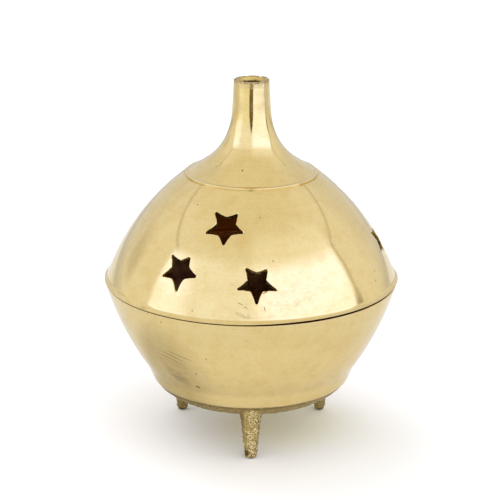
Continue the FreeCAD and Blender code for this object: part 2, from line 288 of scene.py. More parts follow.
BOWL_OUTSIDE = [
    (0, 7.9, 62, RIGHT), (21, 11.6, 12, RIGHT), (25.8, 15.5), (27.1, 18.8, 77, RIGHT), (37.8, 41.54),
]
BOWL_LIP = [(35.15, 41.54), (35.15, 43.5), (34.1, 43.5)]
BOWL_INSIDE = [(34.1, 40, 75, LEFT), (24.6, 19.3, 10, LEFT), (19.8, 13.8, 60, LEFT), (0, 10.4)]
bowl_outline = outline(BOWL_OUTSIDE + BOWL_LIP + BOWL_INSIDE)
print("points along the bowl's outline:", len(bowl_outline))

# %% [markdown]
# ## The lathe
# `spin` sweeps the chain of points round the axis. It slows down as the mesh grows, so only an eighth
# of a turn is spun, and that wedge is then doubled three times with a turned copy of itself. The
# seams and the two ends on the axis are merged before the normals are worked out. Sharp turned
# corners are then broken with `bevel` along whole rings, as a maker breaks an edge with a file while
# the work still turns.

# %% Spin an outline and break its edges
def spun(points, steps):
    """A bmesh turned about the vertical axis from an outline in millimetres."""
    mesh = bmesh.new()
    chain = [mesh.verts.new((point.x * MM, 0, point.y * MM)) for point in points]
    edges = [mesh.edges.new(pair) for pair in zip(chain, chain[1:])]
    bmesh.ops.spin(
        mesh, geom=chain + edges, cent=(0, 0, 0), axis=(0, 0, 1),
        angle=math.pi / 4, steps=steps // 8, use_merge=False,
    )
    for share in (4, 2, 1):
        copy = bmesh.ops.duplicate(mesh, geom=mesh.verts[:] + mesh.edges[:] + mesh.faces[:])
        verts = [item for item in copy["geom"] if isinstance(item, bmesh.types.BMVert)]
        bmesh.ops.rotate(mesh, verts=verts, cent=(0, 0, 0), matrix=Matrix.Rotation(math.pi / share, 3, "Z"))
    bmesh.ops.remove_doubles(mesh, verts=mesh.verts, dist=1e-7)
    bmesh.ops.recalc_face_normals(mesh, faces=mesh.faces)
    return mesh


def ring_edges(mesh, radius, height):
    """The edges of one turned corner."""
    def on_ring(vert):
        return abs(vert.co.xy.length - radius * MM) < 1e-6 and abs(vert.co.z - height * MM) < 1e-6
    return [edge for edge in mesh.edges if on_ring(edge.verts[0]) and on_ring(edge.verts[1])]


def break_edge(mesh, radius, height, width, segments=4):
    """Rounds one turned corner."""
    edges = ring_edges(mesh, radius, height)
    bmesh.ops.bevel(
        mesh, geom=edges, offset=width * MM, offset_type="OFFSET", affect="EDGES",
        segments=segments, profile=0.5, material=-1,
    )
    return len(edges)


bowl_mesh = spun(bowl_outline, 288)
broken = [
    break_edge(bowl_mesh, 37.8, 41.54, 0.18),
    break_edge(bowl_mesh, 35.15, 43.5, 0.4),
    break_edge(bowl_mesh, 34.1, 43.5, 0.4),
    break_edge(bowl_mesh, 25.8, 15.5, 0.35),
]
print("bowl faces:", len(bowl_mesh.faces), "ring edges broken:", broken)

# %% [markdown]
# ## The cast underside
# The bowl was cast in sand and only its wall was turned, so below the turned edge the skin is still
# as it left the mould. Grains of sand leave dents about half a millimetre wide. Bump alone would
# vanish at the outline, so the larger grains move the points themselves, and the shader adds the rest.

# %% Sand dents under the bowl
def grain(place, size):
    """Between -1 and 1, from lumps about this many millimetres wide."""
    return noise.fractal(place / (size * MM), 1.0, 2.0, 3, noise_basis="PERLIN_NEW")


def roughen(mesh, amount, size, share):
    """Moves points along their normals by up to amount mm, scaled by share(vert)."""
    mesh.normal_update()
    moves = [(vert, vert.normal * grain(vert.co, size) * amount * MM * share(vert)) for vert in mesh.verts]
    for vert, move in moves:
        vert.co += move
    return max(move.length for _, move in moves) / MM


def underside_share(vert):
    """1 on the cast underside, 0 on the turned wall and on everything inside."""
    radius, height = vert.co.xy.length / MM, vert.co.z / MM
    middle_of_wall = 9.2 + 0.0098 * radius**2
    return min(1.0, (15.4 - height) / 1.2) if height < min(15.4, middle_of_wall) else 0.0


print("deepest dent in mm:", round(roughen(bowl_mesh, 0.16, 1.3, underside_share), 3))

# %% [markdown]
# ## Finished pieces
# A bmesh becomes an object at the origin, with its place in its mesh, as the frame's own nodes have.
# It stands for its node, whose own part is hidden, and moves with the node's body. Its materials are given
# with it. Faces are smooth except where they meet at more than 35 degrees, so turned corners stay crisp.

# %% Turn a bmesh into a piece
SHARP_FROM = 35


def piece(name, mesh, materials, node, body):
    """An object made from a bmesh, in place of one node of the frame."""
    data = bpy.data.meshes.new(name)
    mesh.to_mesh(data)
    mesh.free()
    for material in materials:
        data.materials.append(material)
    data.shade_smooth()
    data.set_sharp_from_angle(angle=math.radians(SHARP_FROM))
    made = bpy.data.objects.new(name, data)
    bpy.context.collection.objects.link(made)
    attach(made, body)
    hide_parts(node)
    print(name, "faces:", len(data.polygons), "materials:", [material.name for material in materials])


print("edges stay sharp from", SHARP_FROM, "degrees")

# %% [markdown]
# ## Where a point of a turned piece is
# Lathe marks are rings, so the turned finishes need to know how far a point is from the axis and how
# high it is. Both come from Object coordinates, in millimetres. Noise laid over the distance and the
# height gives perfect rings. Two more inputs, the cosine and sine of the way round, break the rings
# up into streaks of a chosen length without leaving a join at the back.

# %% Coordinates and ring noise
class Spot:
    """Where a shaded point lies, in millimetres."""

    def __init__(self, wire):
        at = wire.node("ShaderNodeTexCoord", output="Object")
        self.at = wire.node("ShaderNodeVectorMath", {"operation": "SCALE"}, {0: at, "Scale": 1000.0})
        self.x, self.y, self.z = self.at.parts()
        self.radius = (self.x * self.x + self.y * self.y) ** 0.5
        self.wire = wire

    def lumps(self, size, detail=2.0, roughness=0.5):
        """Noise between 0 and 1 in lumps about this many millimetres wide."""
        inputs = {"Vector": self.at, "Scale": 1.0 / size, "Detail": detail, "Roughness": roughness}
        return self.wire.node("ShaderNodeTexNoise", {}, inputs)

    def rings(self, pitch, length, detail=2.0):
        """Noise drawn out round the axis: streaks pitch mm wide and about length mm long."""
        along = 30.0 / length
        spread = {0: self.radius / pitch, 1: self.z / pitch, 2: self.x / self.radius * along}
        streak = self.wire.node("ShaderNodeCombineXYZ", {}, spread)
        inputs = {"Vector": streak, "W": self.y / self.radius * along, "Scale": 1.0, "Detail": detail}
        return self.wire.node("ShaderNodeTexNoise", {"noise_dimensions": "4D"}, inputs)

    def scratches(self, turn, pitch, length, low, high):
        """Straight hairlines in one direction of the front view, 1 on the line."""
        settings = {"rotation_type": "EULER_XYZ"}
        turned = self.wire.node("ShaderNodeVectorRotate", settings, {"Vector": self.at, "Rotation": turn})
        stretch = {0: turned, 1: (1 / length, 1 / pitch, 1 / pitch)}
        drawn = self.wire.node("ShaderNodeVectorMath", {"operation": "MULTIPLY"}, stretch)
        inputs = {"Vector": drawn, "Scale": 1.0, "Detail": 0.0}
        return self.wire.node("ShaderNodeTexNoise", {}, inputs).rise(low, high)

    def mark(self, place, angle, length, width):
        """1 on one small mark, given half sizes and its slope to the right in degrees."""
        turn = (0, -math.radians(angle), math.atan2(place[0], -place[1]))
        inputs = {"Vector": self.at, "Location": place, "Rotation": turn, "Scale": (length, 3.0, width)}
        local = self.wire.node("ShaderNodeMapping", {"vector_type": "TEXTURE"}, inputs)
        local = self.wire.node("ShaderNodeVectorMath", {"operation": "LENGTH"}, {0: local}, output=1)
        return 1 - local.rise(0.5, 1.1)

    def marks(self, places):
        """The strongest of several marks at each point."""
        total = 0.0
        for place in places:
            total = self.wire.math("MAXIMUM", total, self.mark(*place))
        return total


# %% Start and end a material
def material(name, diffuse):
    """An empty material and the wire to build it with."""
    made = bpy.data.materials.new(name)
    made.use_nodes = True
    made.node_tree.nodes.clear()
    made.diffuse_color = diffuse
    return made, Wire(made.node_tree)


def surface(wire, colour, roughness, height, metallic=1.0, **constants):
    """Ends a material: one Principled shader, with its relief given in thousandths of a millimetre."""
    relief = wire.node("ShaderNodeBump", {}, {"Strength": 1.0, "Distance": 1e-6, "Height": height})
    inputs = {"Base Color": colour, "Roughness": roughness, "Metallic": metallic, "Normal": relief}
    inputs.update({name.replace("_", " "): value for name, value in constants.items()})
    shader = wire.node("ShaderNodeBsdfPrincipled", {}, inputs)
    wire.node("ShaderNodeOutputMaterial", {}, {"Surface": shader})


print("ways to place a finish:", [name for name in dir(Spot) if name[0] != "_"])

# %% [markdown]
# ## Polished turned brass
# The wall was turned and then buffed while it still spun. That leaves three things. Very fine rings
# spread a reflection up and down but not sideways, which is the Anisotropic setting turned a quarter.
# Wider rings and a slight waviness bend the reflections a little. Handling adds hairlines, pits and a
# faint brown bloom, strongest in corners that the buff can't reach.

# %% The polished finish
PALE_BRASS = rgb(0.85, 0.69, 0.335)
WARM_BRASS = rgb(0.81, 0.645, 0.29)
TARNISH = rgb(0.30, 0.19, 0.075)


def polished(wire, spot, corners, dashes, smear_and_painted_reflection):
    """Colour, roughness and relief. Corners gather tarnish, dashes are cut marks, and the last mask dulls and
    darkens: wear, and on the bowl also a painted dark reflection.
    """
    fine = spot.rings(0.22, 45.0, detail=3.0)
    wide = spot.rings(0.9, 70.0, detail=2.0)
    bloom = spot.lumps(14.0, detail=6.0, roughness=0.62).rise(0.38, 0.70)
    cloudy = spot.lumps(3.4, detail=3.0, roughness=0.55).rise(0.42, 0.66)
    speckle = spot.lumps(0.8, detail=3.0, roughness=0.6).rise(0.48, 0.70)
    hair = spot.scratches((0.3, 0.5, 0.35), 0.09, 7.0, 0.70, 0.76)
    hair = hair.math("MAXIMUM", hair, spot.scratches((1.2, 0.2, -0.6), 0.08, 5.0, 0.71, 0.77))
    hair = hair.math("MAXIMUM", hair, spot.rings(0.16, 4.0, detail=1.0).rise(0.66, 0.74) * bloom)
    spots = wire.node("ShaderNodeTexVoronoi", {}, {"Vector": spot.at, "Scale": 1 / 5.5}, output="Distance")
    pit = (1 - spots.rise(0.02, 0.04)) * spot.lumps(9.0, detail=0.0).rise(0.5, 0.56)
    pit = wire.math("MAXIMUM", pit, spot.marks(dashes))
    streak = fine * 0.7 + wide * 0.3
    colour = streak.rise(0.2, 0.8).mix(WARM_BRASS, PALE_BRASS)
    colour = (bloom * 0.14 + cloudy * 0.17 + speckle * 0.18).mix(colour, rgb(0.66, 0.43, 0.12))
    colour = (hair * 0.25 + smear_and_painted_reflection * 0.5).mix(colour, rgb(0.50, 0.38, 0.18))
    colour = (corners * 0.75).mix(colour, TARNISH)
    colour = (pit * 0.9).mix(colour, rgb(0.07, 0.04, 0.012))
    roughness = 0.06 + streak * 0.04 + bloom * 0.03 + cloudy * 0.03
    roughness = roughness + hair * 0.1 + corners * 0.2 + smear_and_painted_reflection * 0.16
    waves = spot.lumps(11.0, detail=1.0) * 110.0 + spot.lumps(3.0, detail=2.0) * 9.0
    height = fine * 0.2 + wide * 0.3 + waves - hair * 0.5 - pit * 14.0 + smear_and_painted_reflection * spot.lumps(0.5) * 8.0
    return colour, roughness, height


print("pale and warm brass:", PALE_BRASS[:3], WARM_BRASS[:3])

# %% [markdown]
# ## Cast skin, smoke and the bowl
# Where nothing was turned the brass keeps its cast skin: dark olive-brown in the dents, and pale gold
# on the grains that fingers and shelves have rubbed. The inside has never been polished and has years
# of smoke on it. Light is passed on in the closed lid more often than a render follows it, so that
# skin has a trace of red-brown glow, far too weak to be seen once the lid is off. The bowl needs both
# finishes outside, so its one outer material changes over at the turned edge with a ragged line.

# %% Cast skin and smoke
def cast_skin(spot, rubbed, grime_and_painted_shade):
    """Brass as it left the mould. Rubbed is 1 where grains are worn bright; the last mask is 1 where the skin
    is darkened, partly by soiling and partly by painted shade.
    """
    cells = {"Vector": spot.at, "Scale": 2.1}
    domes = 1 - spot.wire.node("ShaderNodeTexVoronoi", {}, cells, output="Distance") * 1.25
    grains = domes * 0.3 + spot.lumps(0.35, detail=2.0) * 0.7
    patches = spot.lumps(1.7, detail=2.0).rise(0.36, 0.62)
    pitted = (1 - grains.rise(0.35, 0.44)) * (0.3 + patches * 0.7)
    worn = grains.rise(0.47, 0.58) * (0.1 + patches * 0.9) * rubbed
    colour = patches.mix(rgb(0.48, 0.355, 0.125), rgb(0.62, 0.475, 0.19))
    colour = (pitted * 0.9).mix(colour, rgb(0.09, 0.055, 0.015))
    colour = (worn * 0.85).mix(colour, rgb(0.98, 0.90, 0.62))
    colour = (grime_and_painted_shade * 0.9).mix(colour, rgb(0.09, 0.055, 0.015))
    return colour, 0.46 - worn * 0.14 + pitted * 0.15, grains * 70.0 + patches * 40.0


def smoked(spot):
    """The never polished inside, clean at the chimney's mouth and rubbed pale on the bowl's lip."""
    soot = spot.lumps(6.0, detail=4.0, roughness=0.6).rise(0.35, 0.7)
    turned = spot.rings(0.5, 80.0, detail=2.0)
    clean = (spot.z + spot.lumps(1.1) * 0.8).rise(93.2, 93.6)
    seat = spot.z.near(43.0, 0.6, 1.0) * (0.5 + soot * 0.3)
    colour = soot.mix(rgb(0.46, 0.235, 0.095), rgb(0.23, 0.10, 0.04))
    colour = seat.mix(colour, rgb(0.62, 0.45, 0.17))
    colour = spot.z.rise(86.0, 91.0).mix(colour, rgb(0.10, 0.055, 0.012))
    colour = clean.mix(colour, rgb(0.62, 0.46, 0.14))
    return colour, 0.40 + soot * 0.2 - clean * 0.15, turned * 4.0 + soot * 6.0


smoke, wire = material("smoked_brass", rgb(0.2, 0.1, 0.05))
spot = Spot(wire)
seam = spot.radius.rise(34.6, 35.1) * (1 - spot.z.rise(43.4, 43.7))
in_dome = spot.z.near(47.0, 4.0, 9.0) * (1 - seam)
glow = in_dome.mix(rgb(0, 0, 0), rgb(0.026, 0.0065, 0.0008))
surface(wire, *smoked(spot), Emission_Color=glow, Emission_Strength=1.0)
print("smoked brass nodes:", len(smoke.node_tree.nodes))

# %% The bowl's two finishes
# Each mark is its place, its slope in degrees, its half length and its half width.
BOWL_MARKS = [
    ((-22.1, -30.0, 39.8), -20, 0.35, 0.16), ((-13.7, -28.0, 25.3), 70, 0.6, 0.14),
    ((-13.3, -25.0, 20.7), -24, 0.7, 0.36), ((-25.5, -27.8, 41.1), -10, 0.3, 0.12),
    ((-32.2, -19.7, 41.2), -10, 0.35, 0.12), ((-17.9, -28.4, 30.4), -14, 4.6, 0.095),
    ((-19.6, -26.9, 29.7), -15, 5.0, 0.1), ((-19.9, -26.1, 28.6), -14, 4.4, 0.08),
]

bowl_skin, wire = material("bowl_brass", rgb(0.8, 0.63, 0.3))
spot = Spot(wire)
crevice = spot.z.near(41.55, 0.02, 0.2) * 0.5
# Two patches low on the bowl's left are partly brush strokes and partly a painted dark reflection of the card
# beside the bowl; a thin mark on the right is added too.
strokes = spot.rings(0.35, 7.0, detail=2.0).rise(0.34, 0.60) * 2.1
brushed_and_painted_reflection = spot.mark((-18.2, -23.8, 22.3), -48, 5.6, 2.6) * strokes
strokes = spot.rings(0.25, 9.0).rise(0.42, 0.62) * 0.9
brushed_and_painted_reflection = brushed_and_painted_reflection + spot.mark((-19.5, -25.5, 27.5), -30, 8.0, 4.0) * strokes
brushed_and_painted_reflection = brushed_and_painted_reflection + spot.mark((5.4, -27.6, 20.2), 84, 2.4, 0.12) * 0.7
bright = polished(wire, spot, crevice, BOWL_MARKS, brushed_and_painted_reflection)
# The cast underside is darkened throughout, and most along the turned edge at 15.2 mm.
rough = cast_skin(spot, 0.05, 0.25 + spot.z.near(15.2, 0.2, 1.0) * 0.5)
edge_line = spot.z + spot.lumps(1.6, detail=3.0) * 0.5
turned = edge_line.rise(15.1, 15.7)
surface(
    wire, turned.mix(rough[0], bright[0]), rough[1] + (bright[1] - rough[1]) * turned,
    rough[2] + (bright[2] - rough[2]) * turned, Anisotropic=0.5, Anisotropic_Rotation=0.25,
)
print("bowl brass nodes:", len(bowl_skin.node_tree.nodes))

# %% [markdown]
# ## Bowl
# The spun bmesh already has every surface, so only the material has to be told inside from outside.
# A face that looks towards the axis or up from the floor, and lies inside the wall's middle line,
# belongs to the smoked inside.

# %% Make the bowl
def inside_bowl(face):
    centre = face.calc_center_median() / MM
    radius = centre.xy.length
    if centre.z > 41.0:
        return radius < (37.55 if centre.z > 41.5 else 35.0)
    wall_middle = 36.1 - (41.7 - centre.z) * 0.44
    return radius < wall_middle and centre.z > 9.2 + 0.0098 * radius**2


for face in bowl_mesh.faces:
    face.material_index = 1 if inside_bowl(face) else 0
piece("bowl_turned", bowl_mesh, [bowl_skin, smoke], "bowl", "base")

# %% [markdown]
# ## Feet
# Each foot is a small rough casting, wider where it meets the bowl. The blank is spun on its own axis,
# given a flared root, and stood on the foot circle. The root is slanted to follow the bowl's floor, so
# that it ends within the wall. It is roughened last, hard enough to show in the outline, so every foot
# gets its own noise.

# %% Make the feet
FOOT_CIRCLE = 21.46
ROOT_START, ROOT_SLANT = 10.0, 0.55
FOOT_OUTLINE = [
    (0, 0), (0.8, 0, 0.85, RIGHT), (1.5, 0.7), (1.72, 3.0), (2.0, 5.3), (2.5, 10.4), (2.95, 12.2),
    (3.6, 13.2), (2.6, 14.2), (0, 14.2),
]


def foot_share(vert):
    return 1.0 if vert.co.z > 0.25 * MM else 0.15


def make_foot(node, turn, slim, skin):
    """A foot on the foot circle, turned this many degrees from +X and made slimmer towards its end."""
    mesh = spun(outline(FOOT_OUTLINE, step=0.3), 48)
    for vert in mesh.verts:
        lower = 1.0 - min(1.0, vert.co.z / (11.0 * MM))
        vert.co.xy *= 1.0 - slim * lower
    spot_on_circle = Vector((math.cos(math.radians(turn)), math.sin(math.radians(turn)), 0)) * FOOT_CIRCLE * MM
    bmesh.ops.translate(mesh, verts=mesh.verts, vec=spot_on_circle)
    for vert in mesh.verts:
        root = min(1.0, max(0.0, (vert.co.z / MM - ROOT_START) / 3.0))
        vert.co.z += root * ROOT_SLANT * (vert.co.xy.length - FOOT_CIRCLE * MM)
    roughen(mesh, 0.26, 0.8, foot_share)
    low = min(vert.co.z for vert in mesh.verts)
    bmesh.ops.translate(mesh, verts=mesh.verts, vec=(0, 0, -low))
    piece(node + "_peg", mesh, [skin], node, "base")


# %% Give the feet their skins
foot_skin, wire = material("cast_skin", rgb(0.45, 0.36, 0.2))
spot = Spot(wire)
# Painted shade on the front foot: darker at its bottom end, along its left side and a little at its right edge.
# A dark patch low at its left front is added, and pale grains grow towards the right.
dirt_and_painted_shade = wire.math("MAXIMUM", spot.mark((-1.2, -22.4, 1.5), 60, 1.2, 0.9), 1 - spot.z.rise(0.15, 0.6))
dirt_and_painted_shade = dirt_and_painted_shade + (1 - spot.x.rise(-2.7, -1.3)) * 0.5 + spot.x.rise(1.3, 2.6) * 0.25
surface(wire, *cast_skin(spot, spot.x.rise(-1.8, 0.2) + 0.15, dirt_and_painted_shade))
# The rear feet stand under the bowl and get a painted-shade copy of the skin: fewer pale grains, darker overall
# and darker still towards their bottom ends.
shaded_skin, wire = material("cast_skin_shaded", rgb(0.25, 0.2, 0.1))
spot = Spot(wire)
surface(wire, *cast_skin(spot, 0.1, 0.3 + (1 - spot.z.rise(0.15, 0.8)) * 0.6))
make_foot("foot_front", -90, 0.0, foot_skin)
make_foot("foot_rear_right", 30, 0.1, shaded_skin)
make_foot("foot_rear_left", 150, 0.1, shaded_skin)

# %% [markdown]
# ## Lid
# The dome is a thin shell, spun as a closed outline. Its nine stars were cut by hand through the
# wall, square to the surface. A star-shaped cutter for each is made here and taken away from the
# shell with one exact Boolean. No two stars are alike: each has its own five tips and notches, as far
# from the middle as the saw left them. The cutter widens at the surface, which leaves the narrow
# filed edge that catches the light, and it leans a little, so that the wall's thickness shows.

# %% Spin the dome
DOME_RADIUS = 60
WALL = 1.4
LID_CORNERS = [
    (35.4, 41.7), (37.65, 41.7, 0.35, RIGHT), (38, 42.05), (37.2, 42.75, DOME_RADIUS, RIGHT),
    (17.4, 69.55), (12.4, 69.55), (12.4, 68.15), (17.1, 68.15, DOME_RADIUS - WALL, LEFT),
    (35.4, 43.6), (35.4, 41.7),
]
lid_mesh = spun(outline(LID_CORNERS), 288)
print("dome faces:", len(lid_mesh.faces), "edges left open:", sum(edge.is_boundary for edge in lid_mesh.edges))

# %% Where the dome's surface is
DOME_CENTRE = arc_centre(Vector((37.2, 42.75)), Vector((17.4, 69.55)), DOME_RADIUS, RIGHT)


def above_dome(place):
    """How far a place, in millimetres, stands above the outside of the dome."""
    return (Vector((place.xy.length, place.z)) - DOME_CENTRE).length - DOME_RADIUS


print("centre of the dome's arc:", [round(value, 2) for value in DOME_CENTRE])

# %% Shape one star
# Each star is its turn from the group's middle, its (radius, height, tilt), its own turn, the lean of its
# walls, and how far out its five tips and its five notches lie.
GROUP_TURN = -104.7
STARS = [
    (-18.2, (32.6, 52.4, 30.5), 9.0, 0.35, (5.8, 5.5, 4.75, 5.25, 5.3), (2.8, 2.8, 2.35, 2.32, 2.8)),
    (17.0, (33.4, 51.0, 29.0), -1.5, 0.75, (5.6, 5.55, 4.85, 5.15, 5.4), (2.39, 2.38, 2.72, 2.25, 2.41)),
    (0.0, (25.1, 62.6, 42.5), 4.0, 0.1, (5.35, 5.3, 4.95, 5.55, 5.6), (2.79, 2.64, 2.74, 2.45, 2.92)),
]
# Each level is its height over the dome's surface and how much wider the cutter is there.
CUTTER_LEVELS = [(0.7, 0.80), (-0.14, 0.0), (-4.0, 0.0)]


def star_face(mesh, group, turned, tips, notches):
    """A flat star about the origin, with rounded tips and slightly hollow sides."""
    # The front group, 0, is cut as listed, and the other two differ by a little noise.
    made = bmesh.ops.create_circle(mesh, cap_ends=True, segments=10, radius=1.0)
    corners = list(made["verts"])
    for vert in corners:
        step = round((math.degrees(math.atan2(vert.co.y, vert.co.x)) + 90) / 36) % 10
        by_hand = noise.noise(Vector((group * 3.7, step * 1.9, tips[0]))) * 0.3 if group else 0.0
        angle = math.radians(step * 36 - 90 + turned + by_hand * 8)
        reach = (tips, notches)[step % 2][step // 2] + by_hand
        vert.co = Vector((math.cos(angle), math.sin(angle), 0)) * reach
    corners.sort(key=lambda vert: vert.co.length)
    for some, width in ((corners[5:], 0.85), (corners[:5], 0.3)):
        bmesh.ops.bevel(
            mesh, geom=some, offset=width, offset_type="OFFSET", affect="VERTICES",
            segments=4, profile=0.5, material=-1,
        )
    sides = [edge for edge in mesh.edges if edge.calc_length() > 1.2]
    bmesh.ops.subdivide_edges(mesh, edges=sides, cuts=5)
    for vert in mesh.verts:
        along = min(1.0, max(0.0, (vert.co.length - 2.6) / 2.3))
        ragged = noise.noise(vert.co * 1.7 + Vector((group * 5.0, turned, 0))) * 0.09
        vert.co *= 1 - 0.055 * math.sin(math.pi * along) + ragged * 0.3


print("stars in a group:", len(STARS))

# %% Set a star cutter in the dome
def place_star(vert, level, turn, star, slant):
    """Moves a flat point to its place round the dome, at one level of the cutter."""
    radius, height, tilt = star[0], star[1], math.radians(star[2])
    rise, spread = level
    across = Vector((-math.sin(turn), math.cos(turn), 0))
    out = Vector((math.cos(turn), math.sin(turn), 0))
    normal = out * math.cos(tilt) + Vector((0, 0, 1)) * math.sin(tilt)
    upward = Vector((0, 0, 1)) * math.cos(tilt) - out * math.sin(tilt)
    scale = 1 + spread / 2.32
    place = out * radius + Vector((0, 0, height)) + (across * vert.co.x + upward * vert.co.y) * scale
    for _ in range(4):
        place += normal * (rise - above_dome(place))
    if rise < -1:
        place -= upward * slant * 2.2
    vert.co = place * MM


def add_cutter(mesh, group, turn, star, turned, slant, tips, notches):
    """One star cutter through the dome, made of three levels of the same star."""
    part = bmesh.new()
    star_face(part, group, turned, tips, notches)
    levels = [part.verts[:]]
    for _ in CUTTER_LEVELS[1:]:
        top = [face for face in part.faces if all(vert in levels[-1] for vert in face.verts)]
        grown = bmesh.ops.extrude_face_region(part, geom=top)
        if len(levels) > 1:
            bmesh.ops.delete(part, geom=top, context="FACES_ONLY")
        levels.append([item for item in grown["geom"] if isinstance(item, bmesh.types.BMVert)])
    for verts, level in zip(levels, CUTTER_LEVELS):
        for vert in verts:
            place_star(vert, level, turn, star, slant)
    bmesh.ops.recalc_face_normals(part, faces=part.faces)
    open_edges = sum(not edge.is_manifold for edge in part.edges)
    data = bpy.data.meshes.new("one_cutter")
    part.to_mesh(data)
    part.free()
    mesh.from_mesh(data)
    bpy.data.meshes.remove(data)
    return open_edges


# %% Set all nine cutters
cutters = bmesh.new()
open_edges = 0
for group in range(3):
    for offset, *shape in STARS:
        open_edges += add_cutter(cutters, group, math.radians(GROUP_TURN + 120 * group + offset), *shape)
print("cutter faces:", len(cutters.faces), "open edges:", open_edges)

# %% Take the cutters out of the shell
def as_object(name, mesh):
    data = bpy.data.meshes.new(name)
    mesh.to_mesh(data)
    mesh.free()
    made = bpy.data.objects.new(name, data)
    bpy.context.collection.objects.link(made)
    return made


shell, star_cutters = as_object("shell", lid_mesh), as_object("star_cutters", cutters)
cut = shell.modifiers.new("stars", "BOOLEAN")
cut.operation = "DIFFERENCE"
cut.solver = "EXACT"
cut.object = star_cutters
pierced = shell.evaluated_get(bpy.context.evaluated_depsgraph_get()).to_mesh()
lid_mesh = bmesh.new()
lid_mesh.from_mesh(pierced)
for helper in (shell, star_cutters):
    bpy.data.objects.remove(helper)
open_edges = sum(not edge.is_manifold for edge in lid_mesh.edges)
print("lid faces after the stars:", len(lid_mesh.faces), "open edges:", open_edges)

# %% [markdown]
# The dome was never a perfect fit. The bowl's edge was filed down a touch, and the dome's lower edge
# is a little wavy, so the seam is a hairline on one side and a dark gap on the other. The points of
# the dome's edge are lifted by a fraction of a millimetre over the right front.

# %% Let the lid's edge lift at the right front
def way_round(place):
    """Degrees round the axis: 0 at the front, positive to the right."""
    return math.degrees(math.atan2(place.x, -place.y))


def ease(value, low, high):
    part = min(1.0, max(0.0, (value - low) / (high - low)))
    return part * part * (3 - 2 * part)


def edge_lift(angle):
    """Lift of the lid's lower edge in millimetres."""
    right_front = ease(angle, -8, 20) * (1 - ease(angle, 60, 95))
    return 0.03 + 0.27 * right_front + 0.03 * math.sin(math.radians(angle * 3 + 40))


lifts = []
for vert in lid_mesh.verts:
    share = 1 - ease(vert.co.z / MM, 41.75, 42.6)
    if share > 0:
        lifts.append(share * edge_lift(way_round(vert.co)))
        vert.co.z += lifts[-1] * MM
print("lift of the lid's edge in mm:", round(min(lifts), 2), "to", round(max(lifts), 2))

# %% [markdown]
# ## The lid's finish
# Outside, the dome is buffed like the bowl. The buff never reached the walls of the stars, and the
# seat of the chimney and the edge over the seam keep a brown line. The inside is smoked.

# %% The dome's finish
LID_MARKS = [
    ((5.27, -30.07, 55.63), 80, 0.26, 0.16), ((3.4, -34.3, 49.0), 24, 0.95, 0.13),
    ((3.25, -36.0, 45.4), -76, 0.8, 0.1), ((-2.6, -35.6, 46.5), -22, 1.0, 0.07),
    ((-1.4, -35.9, 45.7), -18, 0.8, 0.07), ((-7.09, -11.49, 71.81), 10, 0.3, 0.2),
]
WIPED = [
    ((10.0, -33.0, 49.6), 24, 5.0, 0.8), ((13.5, -33.0, 46.6), 14, 6.5, 0.7), ((5.0, -36.7, 43.6), 3, 6.5, 0.5),
]

lid_skin, wire = material("lid_brass", rgb(0.8, 0.63, 0.3))
spot = Spot(wire)
crevice = spot.z.near(41.8, 0.05, 0.25) * 0.5 + spot.z.rise(69.5, 69.56) * 0.25
scuffed = spot.mark((-2.4, -36.6, 43.9), -26, 1.9, 0.55) * spot.lumps(0.5).rise(0.35, 0.6)
scuffed = scuffed + spot.marks(WIPED) * spot.lumps(2.4, detail=3.0).rise(0.38, 0.62) * 0.3
streaky = spot.scratches((0.0, 0.35, 0.1), 0.55, 7.0, 0.46, 0.62)
scuffed = scuffed + spot.mark((11.0, -33.5, 47.6), 20, 10.5, 4.6) * streaky * 0.4
shaded = polished(wire, spot, crevice, LID_MARKS, scuffed)
surface(wire, *shaded, Anisotropic=0.5, Anisotropic_Rotation=0.25)
print("dome brass nodes:", len(lid_skin.node_tree.nodes))

# %% Finish the stars' walls and make the lid
sawn, wire = material("sawn_brass", rgb(0.4, 0.27, 0.12))
spot = Spot(wire)
file_marks = spot.lumps(0.35, detail=2.0)
colour = file_marks.rise(0.35, 0.65).mix(rgb(0.42, 0.27, 0.08), rgb(0.86, 0.66, 0.23))
surface(wire, colour, 0.26 + file_marks * 0.2, file_marks * 25.0)


def lid_side(face):
    """0 for the buffed outside, 1 for the smoked inside, 2 for the walls of the stars."""
    centre = face.calc_center_median() / MM
    depth = above_dome(centre)
    if depth > -0.17 or centre.z > 69.5:
        return 0
    if centre.z < 43.65:
        return 1 if centre.xy.length < (37.3 if centre.z < 42.1 else 35.45) else 0
    return 1 if depth < -1.2 or centre.z > 68.1 else 2


for face in lid_mesh.faces:
    face.material_index = lid_side(face)
piece("lid_dome", lid_mesh, [lid_skin, smoke, sawn], "lid", "lid")

# %% [markdown]
# ## Chimney
# The chimney was turned from the solid as one piece with its flange and its spigot. Its mouth was
# parted off, countersunk and only roughly filed, so the rim is a little uneven and has a few nicks.
# The rim's points are moved by noise and by small dents. The straight tube runs into the flare without
# a line, so the outline's points there are averaged before it is spun.

# %% Make the chimney
CHIMNEY_CORNERS = [
    (11.2, 67.8), (12.4, 67.8), (12.4, 69.55), (16.9, 69.55), (16.9, 70.1), (16.05, 70.1),
    (12.3, 72.65, 16.2, LEFT), (5.05, 84.4), (4.5, 94), (3.45, 94), (2.75, 92.7), (3.4, 90.8),
    (3.4, 85.5, 17.7, RIGHT), (11.2, 71.6), (11.2, 67.8),
]
NICKS = [(-84, 0.22), (-62, 0.12), (80, 0.24), (24, 0.1), (150, 0.2)]

